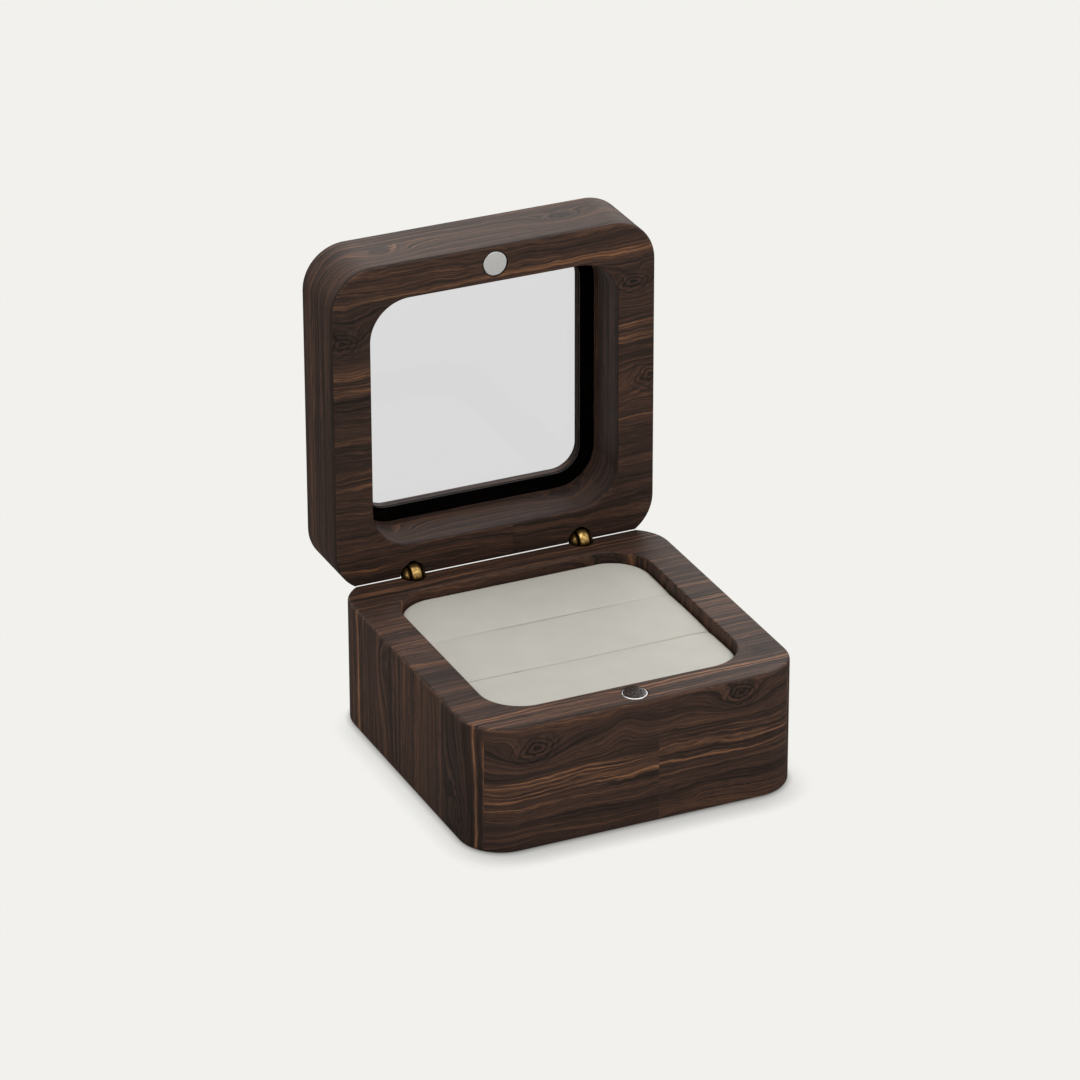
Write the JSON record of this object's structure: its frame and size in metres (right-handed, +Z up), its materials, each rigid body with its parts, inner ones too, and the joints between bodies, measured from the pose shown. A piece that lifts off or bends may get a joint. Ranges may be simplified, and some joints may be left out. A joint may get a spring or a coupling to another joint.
{
  "type": "ring display box",
  "caption": "Small square hinged walnut box with a glazed lid standing open, a cushion of soft ring rolls and a magnetic catch.",
  "frame": {"origin": "middle of the underside of the base, taken on the square before its rear is planed flat", "axes": "+Z up, -Y out of the box's front, +X to the right as seen from the front; the lid stands upright behind the base at rest"},
  "size_m": [0.07, 0.0836, 0.0952],
  "materials": {
    "walnut": "dark walnut, oiled, satin",
    "pane_glass": "clear, faintly grey",
    "gasket_rubber": "matt black",
    "magnet_plating": "nickel plated, bright satin",
    "aged_brass": "antique, darkened in the grooves",
    "leatherette": "warm grey white, fine grained, matt",
    "foam": "pale foam",
    "card": "raw grey board"
  },
  "bodies": {
    "base": {"base_block": "walnut", "base_magnet": "magnet_plating", "hinge_left_base_barrel": "aged_brass", "hinge_right_base_barrel": "aged_brass", "hinge_left_pin": "aged_brass", "hinge_right_pin": "aged_brass", "insert_board": "card", "roll_front_cover": "leatherette", "roll_middle_cover": "leatherette", "roll_rear_cover": "leatherette", "roll_front_core": "foam", "roll_middle_core": "foam", "roll_rear_core": "foam"},
    "lid": {"lid_frame": "walnut", "window_pane": "pane_glass", "window_gasket": "gasket_rubber", "lid_magnet": "magnet_plating", "hinge_left_lid_barrel": "aged_brass", "hinge_right_lid_barrel": "aged_brass"}
  },
  "joints": [
    {"name": "lid_hinge", "type": "hinge", "parent": "base", "child": "lid", "pos_m": [0, 0.03314, 0.0271], "axis": [1, 0, 0], "range_deg": [0, 90]}
  ]
}
